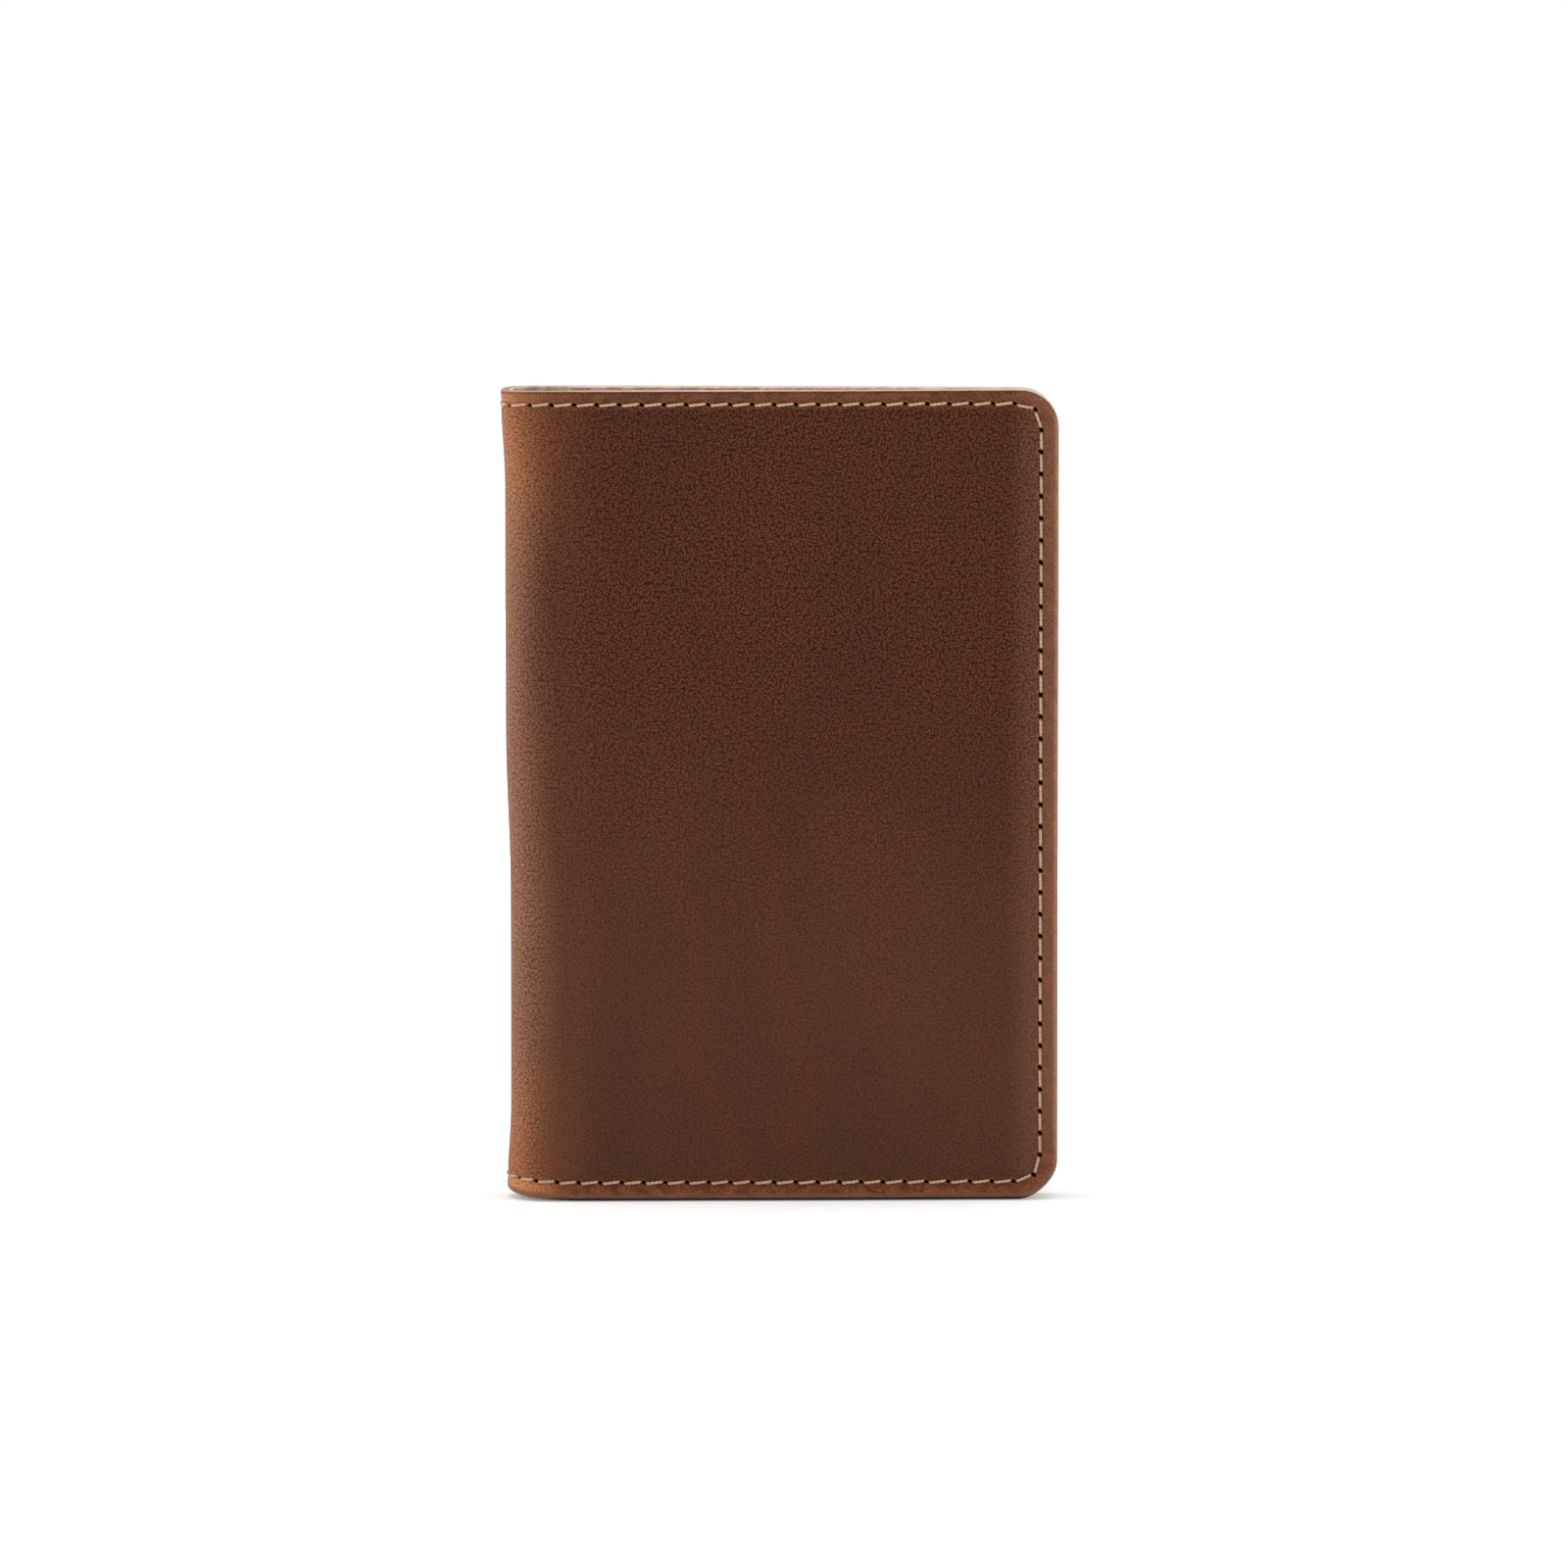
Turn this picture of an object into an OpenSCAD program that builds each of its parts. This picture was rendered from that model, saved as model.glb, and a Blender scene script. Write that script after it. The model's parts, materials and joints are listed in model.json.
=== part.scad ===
// Upright bifold card holder, closed and standing on its bottom edge.
// +Z is up, the fold is at -X, the free edges are at +X, and the front cover faces -Y.
// The origin is the middle of the bottom. Depth is measured inwards from a cover's outer face.

/* [Covers] */
// Width of the closed holder, from the fold to the free edges
cover_w = 75; // [72:0.5:85]
// Height of the holder
cover_h = 110.5; // [105:0.5:125]
// Radius of the corners at the free edges
corner_r = 5.2; // [3.5:0.1:9]
// Thickness of the outer hide
hide_t = 1.2; // [1:0.1:1.6]
// Thickness of the lining
lining_t = 0.4; // [0.3:0.1:0.8]

/* [Pockets] */
// Distance from the fold to the inner edge of the pockets
pocket_in = 9; // [8.5:0.5:11]
// Height of the mouth of the lower pocket
lower_mouth = 66; // [60:0.5:70]
// Height of the mouth of the upper pocket
upper_mouth = 80; // [76:0.5:88]
// Free depth inside a card pocket
card_gap = 0.85; // [0.8:0.05:1]
// Thickness of the slip panel that carries the pockets
slip_t = 0.5; // [0.4:0.1:0.8]
// Thickness of the upper pocket panel
upper_t = 0.5; // [0.4:0.1:0.8]
// Thickness of the lower pocket panel
lower_t = 0.6; // [0.4:0.1:0.9]
// Width of the closed rim round a pocket
rim_w = 4.6; // [4:0.1:4.8]

/* [Stitches] */
// Diameter of the thread
thread_d = 0.44; // [0.36:0.02:0.5]
// Distance from one hole to the next
stitch_pitch = 3; // [2.5:0.1:4]
// Distance from the free edge to the stitch line
stitch_in = 2.4; // [2:0.1:2.8]
// Distance from the top edge to the stitch line
top_in = 1.8; // [1.6:0.1:2.6]
// Distance from the bottom edge to the stitch line
bottom_in = 2.6; // [2:0.1:2.8]
// Length of the slit that the thread goes through
slit_l = 1.2; // [1.1:0.05:1.4]
// Slant of the slits from the direction of the edge
slit_slant = 45; // [30:5:60]

/* [Fold] */
// Space between the two closed halves
half_gap = 0.6; // [0.6:0.1:2]
// Cut between two strips of the fold
strip_gap = 0.1; // [0.06:0.02:0.2]

/* [Hidden] */
// Depths of the layers of one half
lining_d = hide_t;
slip_d = lining_d + lining_t;
upper_gap_d = slip_d + slip_t;
upper_d = upper_gap_d + card_gap;
lower_gap_d = upper_d + upper_t;
lower_d = lower_gap_d + card_gap;
half_t = lower_d + lower_t;

// The fold is half a ring. Its hinges share the half turn evenly, and each one is under a stitch.
hinge_n = 3;
hinge_step = 180 / hinge_n;
hole_a = hinge_step / 4;
fold_r = half_t + half_gap / 2;
free_x = cover_w / 2;
fold_x = fold_r - free_x;
strip_gap_a = asin(strip_gap / 2 / fold_r);

// Pocket outlines
slip_x = pocket_in - free_x;
lap = 5;
clear = 0.3;
shoulder_z = lower_mouth - lap;
leg_z = 12;
leg_x = [slip_x + rim_w + clear, free_x - rim_w - clear];

// Stitches
slit_w = slit_l * 0.55;
groove = [0.5, 0.24];
bar_end = 0.15;
over = thread_d / 4;
bar_end_a = asin(bar_end / fold_r);
row_z = [bottom_in, cover_h - top_in];
turn_r = corner_r - stitch_in;
turn_z = row_z + [turn_r, -turn_r];
corner_run = PI / 2 * turn_r;
x_run = free_x - corner_r - fold_x;
z_run = turn_z[1] - turn_z[0];
edge_run = 2 * x_run + 2 * corner_run + z_run;
first_hole = stitch_pitch - fold_r * hole_a * PI / 180;
turn_hole = x_run + corner_run / 2;
row_n = round((turn_hole - first_hole) / stitch_pitch);
side_n = round((z_run + corner_run) / stitch_pitch);
side_x = slip_x + stitch_in;
cross_z = leg_z + stitch_in;
cross_n = floor((leg_x[1] - leg_x[0] - 2 * stitch_in) / stitch_pitch);
cross_x = (leg_x[0] + leg_x[1] - cross_n * stitch_pitch) / 2;
eps = 0.01;
$fn = 48;

hide_colour = [0.37, 0.22, 0.16];
fold_colour = [0.56, 0.35, 0.25];
lining_colour = [0.30, 0.19, 0.14];
panel_colour = [0.42, 0.26, 0.19];
thread_colour = [0.84, 0.72, 0.60];

STRIPS = [1 : hinge_n - 1];

// Angle round the fold, from 0 at the front cover to 180 at the back cover
function strip_a(i) = 180 - hinge_step * i;

// Point on the stitch line at a distance s along it: top, free edge, then bottom
function corner_point(z, side, s) = let(a = s / turn_r * 180 / PI)
    [free_x - corner_r, z] + turn_r * (side > 0 ? [sin(a), cos(a)] : [cos(a), -sin(a)]);
function edge_point(s) =
    s <= x_run ? [fold_x + s, row_z[1]]
    : s <= x_run + corner_run ? corner_point(turn_z[1], 1, s - x_run)
    : s <= x_run + corner_run + z_run
        ? [free_x - stitch_in, turn_z[1] - (s - x_run - corner_run)]
    : s <= x_run + 2 * corner_run + z_run
        ? corner_point(turn_z[0], -1, s - x_run - corner_run - z_run)
    : [fold_x + edge_run - s, row_z[0]];

// Depth of the innermost face at a stitch hole
function face_d(p) =
    p.x < slip_x ? slip_d : p.y > upper_mouth ? upper_gap_d : p.y > lower_mouth ? lower_gap_d : half_t;
function bar_d(holes, i) = max(face_d(holes[i]), face_d(holes[i + 1]));
function leg_d(holes, i) =
    max(i > 0 ? bar_d(holes, i - 1) : 0, i < len(holes) - 1 ? bar_d(holes, i) : 0);

// Holes of one half: along the top, down the free edge from corner to corner, and back along the bottom
row_s = [for (i = [0 : row_n - 1]) first_hole + i * (turn_hole - first_hole) / row_n];
edge_s = concat(
    row_s,
    [for (i = [0 : side_n]) turn_hole + i * (z_run + corner_run) / side_n],
    [for (i = [row_n - 1 : -1 : 0]) edge_run - row_s[i]]
);
edge_holes = [for (s = edge_s) edge_point(s)];
edge_n = len(edge_holes) - 1;
side_holes = [for (z = [2 * stitch_in : stitch_pitch : upper_mouth - stitch_in / 2]) [side_x, z]];
cross_holes = [for (i = [0 : cross_n]) [cross_x + i * stitch_pitch, cross_z]];

// ---- building blocks of the back half ----

module slab(depth, thick)
    translate([0, fold_r - depth, 0])
        rotate([90, 0, 0])
            linear_extrude(thick) children();

module slits(holes)
    for (p = holes)
        translate(p)
            rotate(-slit_slant)
                polygon([[slit_l, 0], [0, slit_w], [-slit_l, 0], [0, -slit_w]] / 2);

module corner_waste(z, side)
    translate([free_x - corner_r, z])
        difference() {
            translate([0, side > 0 ? 0 : -corner_r]) square(corner_r + eps);
            circle(corner_r);
        }

// Outline of a panel from x0 to the free edge, up to a height, less its stitch slits
module panel(x0, top, holes)
    difference() {
        translate([x0, 0]) square([free_x - x0, top]);
        translate([0, -eps]) corner_waste(corner_r + eps, -1);
        if (top == cover_h) corner_waste(cover_h - corner_r, 1);
        slits(holes);
    }

// Closed rim of the lower pocket, open at the top
module pocket_rim(top)
    difference() {
        panel(slip_x, top, concat(edge_holes, side_holes));
        translate([slip_x + rim_w, rim_w]) square([free_x - slip_x - 2 * rim_w, top]);
    }

module upper_outline()
    difference() {
        union() {
            translate([slip_x, shoulder_z]) square([free_x - slip_x, upper_mouth - shoulder_z]);
            translate([leg_x[0], leg_z]) square([leg_x[1] - leg_x[0], shoulder_z - leg_z]);
        }
        slits(concat(edge_holes, side_holes, cross_holes));
    }

// The two sides of the shoulders and the foot of the leg, where the upper pocket is closed
module upper_rim()
    intersection() {
        upper_outline();
        union() {
            translate([slip_x, shoulder_z]) square([rim_w, upper_mouth]);
            translate([free_x - rim_w, shoulder_z]) square([rim_w, upper_mouth]);
            translate([leg_x[0], leg_z]) square([leg_x[1] - leg_x[0], rim_w]);
        }
    }

module side_groove()
    translate([side_x - groove[0] / 2, stitch_in]) square([groove[0], upper_mouth - stitch_in]);

module cross_groove()
    translate([cross_x - stitch_in / 2, cross_z - groove[0] / 2])
        square([cross_n * stitch_pitch + stitch_in, groove[0]]);

// Part of the ring round the fold, between two angles and two depths
module fold_ring(a0, a1, d0, d1)
    translate([fold_x, 0, 0])
        rotate([0, 0, 270 - a1])
            rotate_extrude(angle = a1 - a0)
                translate([fold_r - d1, 0]) square([d1 - d0, cover_h]);

// Slits through the fold at an angle, one at the top and one at the bottom
module fold_slits(a)
    for (z = row_z)
        translate([fold_x, 0, z])
            rotate([0, 0, 270 - a])
                rotate([90, 0, 90])
                    linear_extrude(fold_r + eps) slits([[0, 0]]);

module half_round(outward)
    intersection() {
        circle(d = thread_d);
        translate([-thread_d, outward ? 0 : -thread_d]) square([2 * thread_d, thread_d]);
    }

// One stitch between two holes, its flat side on the face at a depth
module bar(p, q, depth, outward, start = bar_end) {
    run = q - p;
    translate([p.x, fold_r - depth, p.y])
        rotate([0, 90 - atan2(run.y, run.x), 0])
            translate([0, 0, start])
                linear_extrude(norm(run) - start - bar_end) half_round(outward);
}

// Thread through the hole at a point, between two depths
module leg(p, d0, d1)
    translate([p.x, fold_r - d0, p.y])
        rotate([90, 0, 0])
            cylinder(d = thread_d, h = d1 - d0);

// Stitches over the fold, at both rows, between two angles: on the hide and on the lining
module fold_bars(a0, a1)
    for (z = row_z, outward = [true, false])
        translate([fold_x, 0, z])
            rotate([0, 0, 270 - a1])
                rotate_extrude(angle = a1 - a0)
                    translate([outward ? fold_r : fold_r - slip_d, 0])
                        rotate(-90) half_round(outward);

module fold_legs(a)
    for (z = row_z)
        translate([fold_x, 0, z])
            rotate([0, 0, 270 - a])
                translate([fold_r - slip_d - over, 0, 0])
                    rotate([0, 90, 0])
                        cylinder(d = thread_d, h = slip_d + 2 * over);

// ---- one half, laid out as the back half ----

lip_a = 180 - hinge_step / 2 + strip_gap_a;
lip_hole_a = 180 - hole_a;

module lip(d0, d1)
    difference() {
        fold_ring(lip_a, 180, d0, d1);
        fold_slits(lip_hole_a);
    }

module cover_half() {
    slab(0, hide_t) panel(fold_x, cover_h, edge_holes);
    lip(0, hide_t);
}

module lining_half() {
    slab(lining_d, lining_t) panel(fold_x, cover_h, edge_holes);
    lip(lining_d, slip_d);
}

module slip_half()
    difference() {
        slab(slip_d, slip_t) panel(slip_x, cover_h, concat(edge_holes, side_holes, cross_holes));
        slab(slip_d - eps, groove[1] + eps) {
            side_groove();
            cross_groove();
        }
    }

module upper_half()
    difference() {
        union() {
            slab(upper_gap_d, card_gap) upper_rim();
            slab(upper_d, upper_t) upper_outline();
        }
        slab(lower_gap_d - groove[1], groove[1] + eps) cross_groove();
    }

module lower_half() {
    slab(upper_gap_d, lower_gap_d - upper_gap_d) pocket_rim(shoulder_z - clear);
    slab(lower_gap_d, card_gap) pocket_rim(lower_mouth);
    slab(lower_d, lower_t) panel(slip_x, lower_mouth, concat(edge_holes, side_holes));
}

module edge_thread_half() {
    for (i = [0 : edge_n - 1]) {
        bar(edge_holes[i], edge_holes[i + 1], 0, true);
        bar(edge_holes[i], edge_holes[i + 1], bar_d(edge_holes, i), false);
    }
    for (i = [0 : edge_n]) leg(edge_holes[i], -over, leg_d(edge_holes, i) + over);
    for (p = [edge_holes[0], edge_holes[edge_n]]) {
        bar([fold_x, p.y], p, 0, true, 0);
        bar([fold_x, p.y], p, slip_d, false, 0);
    }
    fold_bars(lip_hole_a + bar_end_a, 180);
    fold_bars(lip_a + bar_end_a, lip_hole_a - bar_end_a);
    fold_legs(lip_hole_a);
}

module side_thread_half()
    for (i = [0 : len(side_holes) - 1]) {
        leg(side_holes[i], slip_d, leg_d(side_holes, i) + over);
        if (i > 0) {
            bar(side_holes[i - 1], side_holes[i], slip_d, false);
            bar(side_holes[i - 1], side_holes[i], bar_d(side_holes, i - 1), false);
        }
    }

module cross_thread_half()
    for (i = [0 : cross_n]) {
        leg(cross_holes[i], slip_d, lower_gap_d);
        if (i > 0) {
            bar(cross_holes[i - 1], cross_holes[i], slip_d, false);
            bar(cross_holes[i - 1], cross_holes[i], lower_gap_d, true);
        }
    }

module front_side() mirror([0, 1, 0]) children();

// ---- sub-parts ----

module outer_back_cover() color(hide_colour) cover_half();
module outer_front_cover() color(hide_colour) front_side() cover_half();
module lining_back() color(lining_colour) lining_half();
module lining_front() color(lining_colour) front_side() lining_half();
module slip_panel_back() color(panel_colour) slip_half();
module slip_panel_front() color(panel_colour) front_side() slip_half();
module upper_pocket_back() color(panel_colour) upper_half();
module upper_pocket_front() color(panel_colour) front_side() upper_half();
module lower_pocket_back() color(panel_colour) lower_half();
module lower_pocket_front() color(panel_colour) front_side() lower_half();
module edge_thread_back() color(thread_colour) edge_thread_half();
module edge_thread_front() color(thread_colour) front_side() edge_thread_half();
module side_thread_back() color(thread_colour) side_thread_half();
module side_thread_front() color(thread_colour) front_side() side_thread_half();
module cross_thread_back() color(thread_colour) cross_thread_half();
module cross_thread_front() color(thread_colour) front_side() cross_thread_half();

// A strip of one layer of the fold, between two hinges
module fold_strip(i, d0, d1)
    difference() {
        fold_ring(
            strip_a(i) - hinge_step / 2 + strip_gap_a,
            strip_a(i) + hinge_step / 2 - strip_gap_a,
            d0, d1
        );
        for (side = [-1, 1]) fold_slits(strip_a(i) + side * hole_a);
    }

module outer_fold_strip(i) color(fold_colour) fold_strip(i, 0, hide_t);
module lining_fold_strip(i) color(lining_colour) fold_strip(i, lining_d, slip_d);
module fold_thread(i)
    color(thread_colour) {
        fold_bars(strip_a(i) - hole_a + bar_end_a, strip_a(i) + hole_a - bar_end_a);
        for (side = [-1, 1]) {
            fold_legs(strip_a(i) + side * hole_a);
            near = strip_a(i) + side * (hole_a + bar_end_a);
            far = strip_a(i) + side * (hinge_step / 2 - strip_gap_a - bar_end_a);
            fold_bars(min(near, far), max(near, far));
        }
    }

outer_back_cover();
outer_front_cover();
lining_back();
lining_front();
slip_panel_back();
slip_panel_front();
upper_pocket_back();
upper_pocket_front();
lower_pocket_back();
lower_pocket_front();
edge_thread_back();
edge_thread_front();
side_thread_back();
side_thread_front();
cross_thread_back();
cross_thread_front();
for (i = STRIPS) {
    outer_fold_strip(i);
    lining_fold_strip(i);
    fold_thread(i);
}
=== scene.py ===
import json
import math

import bpy
import numpy as np
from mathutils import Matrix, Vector
from mathutils.geometry import delaunay_2d_cdt


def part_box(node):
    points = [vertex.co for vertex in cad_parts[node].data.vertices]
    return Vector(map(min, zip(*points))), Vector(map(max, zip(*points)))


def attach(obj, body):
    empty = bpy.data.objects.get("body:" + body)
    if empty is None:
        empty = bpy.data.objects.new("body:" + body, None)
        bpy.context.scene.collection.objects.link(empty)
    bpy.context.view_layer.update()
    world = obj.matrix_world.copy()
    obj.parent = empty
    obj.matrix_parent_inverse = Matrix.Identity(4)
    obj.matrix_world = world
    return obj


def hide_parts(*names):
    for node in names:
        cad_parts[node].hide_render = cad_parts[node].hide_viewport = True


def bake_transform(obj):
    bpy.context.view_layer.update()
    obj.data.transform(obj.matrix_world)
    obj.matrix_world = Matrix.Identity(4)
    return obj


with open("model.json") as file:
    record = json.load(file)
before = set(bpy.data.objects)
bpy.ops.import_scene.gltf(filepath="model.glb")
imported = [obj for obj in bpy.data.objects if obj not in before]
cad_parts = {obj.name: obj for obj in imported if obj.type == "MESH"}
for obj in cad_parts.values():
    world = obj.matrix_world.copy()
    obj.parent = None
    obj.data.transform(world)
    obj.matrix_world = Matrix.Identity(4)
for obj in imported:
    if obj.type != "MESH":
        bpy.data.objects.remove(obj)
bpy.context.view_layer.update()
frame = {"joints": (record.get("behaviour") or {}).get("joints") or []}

MM = 0.001
SIDES = {"back": 1, "front": -1}

# ---- measures of the frame, in mm ----


def corners(node):
    low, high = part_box(node)
    return np.array(low) / MM, np.array(high) / MM


_low, _high = corners("outer_back_cover")
FOLD_R = _high[1]
FREE_X = _high[0]
HEIGHT = _high[2]
FOLD_X = FOLD_R - FREE_X
QUARTER = FOLD_R * math.pi / 2
FLAT = FREE_X - FOLD_X
EDGE_U = QUARTER + FLAT
CORNER_R = 5.2
STITCH_IN, TOP_IN, LOW_IN = 2.4, 1.8, 2.6
PITCH = 3.0
HIDE_T, LINING_T, SLIP_T, UPPER_T, LOWER_T = 1.2, 0.4, 0.5, 0.5, 0.6
SLIP_D = HIDE_T + LINING_T
UPPER_D = SLIP_D + SLIP_T
_slip_low, _ = corners("slip_panel_back")
_upper_low, _upper_high = corners("upper_pocket_back")
_lower_low, _lower_high = corners("lower_pocket_back")
SLIP_U = QUARTER + _slip_low[0] - FOLD_X
UPPER_MOUTH = _upper_high[2]
LOWER_MOUTH = _lower_high[2]
LEG_Z = _upper_low[2]
SHOULDER_Z = LOWER_MOUTH - 5.0
LEG_U = (SLIP_U + 4.9, EDGE_U - 4.9)
HINGES = frame["joints"]
PART_A = math.pi / len(HINGES)
THREAD_R = 0.205
COVER_LEAN, TOP_LEAN = 1.8, 1.0
FOLD_LIFTED, FOLD_SUNK = 0.8, 0.1
CORNER_PULL, CORNER_REACH = 0.33, 6.0
FOLD_SQUARE, TOP_SQUARE = 2.0, 1.3


def smooth(t):
    """Eases from 0 to 1 as t goes from 0 to 1."""
    t = np.clip(t, 0.0, 1.0)
    return t * t * (3 - 2 * t)


# ---- the shape of the leather: distance round the holder, height and depth to a point ----


def lean(t, z):
    """How far a cover leans in towards the other one, t being 0 at the fold and 1 at the free edge."""
    return (COVER_LEAN + TOP_LEAN * smooth((z - 66) / 44)) * np.clip(t, 0, 1.1) ** 1.6


def spine_shift(z):
    """How far the spine is from a straight line: in over its lower part, and out at both ends."""
    return 0.6 * (1 - smooth((z - 42) / 22)) - 0.55 * (1 - smooth(z / 13)) - 0.55 * smooth((z - 97) / 13)


def wave(u, z):
    """Slow waves in the face of the leather."""
    a = 0.07 * np.sin(u / 9.1 + z / 17.3 + 0.7) * np.sin(z / 12.7 - u / 31.0 + 1.9)
    return a + 0.05 * np.sin(u / 5.3 - z / 8.9 + 0.4) * np.sin(z / 6.1 + 2.2)


def place(u, z, d):
    """Point of the holder, in mm, at a distance u round it from the middle of the spine (the back is
    positive), at a height z, and at a depth d from the outer face."""
    u, z, d = np.broadcast_arrays(np.asarray(u, float), np.asarray(z, float), np.asarray(d, float))
    au = np.abs(u)
    ang = np.clip(au / FOLD_R, 0, math.pi / 2)
    flat = np.maximum(au - QUARTER, 0)
    fold = np.sin(math.pi / 2 - ang) ** 2
    power = FOLD_SQUARE + TOP_SQUARE * smooth((z - HEIGHT + 10) / 10)
    square = (np.cos(ang) ** power + np.sin(ang) ** power) ** (-1 / power)
    rad = (FOLD_R - d) * square
    x = FOLD_X - rad * np.cos(ang) + flat
    y = rad * np.sin(ang) - lean(flat / FLAT, z) - wave(u, z) * smooth(flat / 12)
    x = x + spine_shift(z) * np.clip(1 - flat / 26, 0, 1) ** 2
    bottom = (1 - smooth(au / (QUARTER + 6))) ** 1.6 * (1 - smooth(z / 14))
    corner = CORNER_PULL * smooth(1 - np.hypot(EDGE_U - au, z) / CORNER_REACH)
    x = x - corner
    z = z + corner + FOLD_LIFTED * bottom - FOLD_SUNK * fold * smooth((z - HEIGHT + 12) / 12)
    return np.stack([x, np.where(u < 0, -y, y), z], -1)


def rim_distance(a, z, r=CORNER_R):
    """Distance inwards from the free edges, for a distance a from the spine."""
    qa = a - (EDGE_U - r)
    qt = z - (HEIGHT - r)
    qb = r - z
    straight = np.minimum(np.minimum(EDGE_U - a, HEIGHT - z), z)
    top = r - np.hypot(qa, qt)
    low = r - np.hypot(qa, qb)
    out = np.where((qa > 0) & (qt > 0), top, straight)
    return np.where((qa > 0) & (qb > 0), low, out)


# ---- stitch holes ----

ARC_STEP = FOLD_R * PART_A / 2
RUN_X = FLAT - CORNER_R
TURN_R = CORNER_R - STITCH_IN
TURN_Z = (LOW_IN + TURN_R, HEIGHT - TOP_IN - TURN_R)
RUN_C = math.pi / 2 * TURN_R
RUN_Z = TURN_Z[1] - TURN_Z[0]
EDGE_RUN = 2 * RUN_X + 2 * RUN_C + RUN_Z


def edge_point(s):
    """(a, z) and the outward direction on the stitch line, at a distance s from the fold's top."""
    ca = EDGE_U - CORNER_R
    cb, ct = TURN_Z
    if s <= RUN_X:
        return (QUARTER + s, HEIGHT - TOP_IN), (0.0, 1.0)
    s -= RUN_X
    if s <= RUN_C:
        n = (math.sin(s / TURN_R), math.cos(s / TURN_R))
        return (ca + TURN_R * n[0], ct + TURN_R * n[1]), n
    s -= RUN_C
    if s <= RUN_Z:
        return (EDGE_U - STITCH_IN, ct - s), (1.0, 0.0)
    s -= RUN_Z
    if s <= RUN_C:
        n = (math.cos(s / TURN_R), -math.sin(s / TURN_R))
        return (ca + TURN_R * n[0], cb + TURN_R * n[1]), n
    s -= RUN_C
    return (ca - s, LOW_IN), (0.0, -1.0)


def edge_line():
    """Holes of one half from the spine's top round the free edge to the spine's bottom."""
    first = PITCH - ARC_STEP / 2
    row, side = RUN_X + RUN_C / 2 - first, RUN_Z + RUN_C
    rows, sides = round(row / PITCH), round(side / PITCH)
    along = [first + i * row / rows for i in range(rows)]
    turn = [RUN_X + RUN_C / 2 + i * side / sides for i in range(sides + 1)]
    flat = [edge_point(s) for s in along + turn + [EDGE_RUN - s for s in along[::-1]]]
    fold = [ARC_STEP * (k + 0.5) for k in range(3)]
    top = [((a, HEIGHT - TOP_IN), (0.0, 1.0)) for a in fold]
    low = [((a, LOW_IN), (0.0, -1.0)) for a in reversed(fold)]
    return top + flat + low


EDGE_LINE = edge_line()
EDGE_HOLES = np.array([p for p, _ in EDGE_LINE])
EDGE_NORMALS = np.array([n for _, n in EDGE_LINE])
SIDE_U = SLIP_U + STITCH_IN
SIDE_HOLES = np.array([(SIDE_U, z) for z in np.arange(2 * STITCH_IN, UPPER_MOUTH - STITCH_IN / 2, PITCH)])


def slit_frame(normals):
    """Half length, half width and slant of each slit: long and low on the top and the bottom, nearly
    square on the free edge."""
    side = np.abs(normals[:, 0])
    return 0.56 - 0.17 * side, 0.22 + 0.05 * side, np.radians(-20 - 25 * side)


def slit_metric(a, z, holes, normals):
    """0 in the middle of the nearest slit, 1 on its edge, and more outside."""
    half_l, half_w, slant = slit_frame(normals)
    best = np.full(a.shape, 9.0)
    for (ha, hz), hl, hw, sl in zip(holes, half_l, half_w, slant):
        near = (np.abs(a - ha) < 2.2) & (np.abs(z - hz) < 2.2)
        da, dz = a[near] - ha, z[near] - hz
        p = np.abs(da * math.cos(sl) + dz * math.sin(sl)) / hl
        q = np.abs(dz * math.cos(sl) - da * math.sin(sl)) / hw
        best[near] = np.minimum(best[near], (p ** 1.5 + q ** 1.5) ** (1 / 1.5))
    return best


def slit_points(holes, normals, scales, count=12):
    half_l, half_w, slant = slit_frame(normals)
    out = []
    t = np.arange(count) * 2 * math.pi / count
    for (ha, hz), hl, hw, sl in zip(holes, half_l, half_w, slant):
        out.append((ha, hz))
        for k in scales:
            c, s = np.cos(t), np.sin(t)
            norm = (np.abs(c) ** 1.5 + np.abs(s) ** 1.5) ** (1 / 1.5)
            p, q = k * hl * c / norm, k * hw * s / norm
            grow = max(0.0, k - 1) * 0.16
            p, q = p + grow * c, q + grow * s
            da, dz = p * math.cos(sl) - q * math.sin(sl), p * math.sin(sl) + q * math.cos(sl)
            out += list(zip(ha + da, hz + dz))
    return np.array(out)


# ---- panels as closed sheets of leather ----


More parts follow.
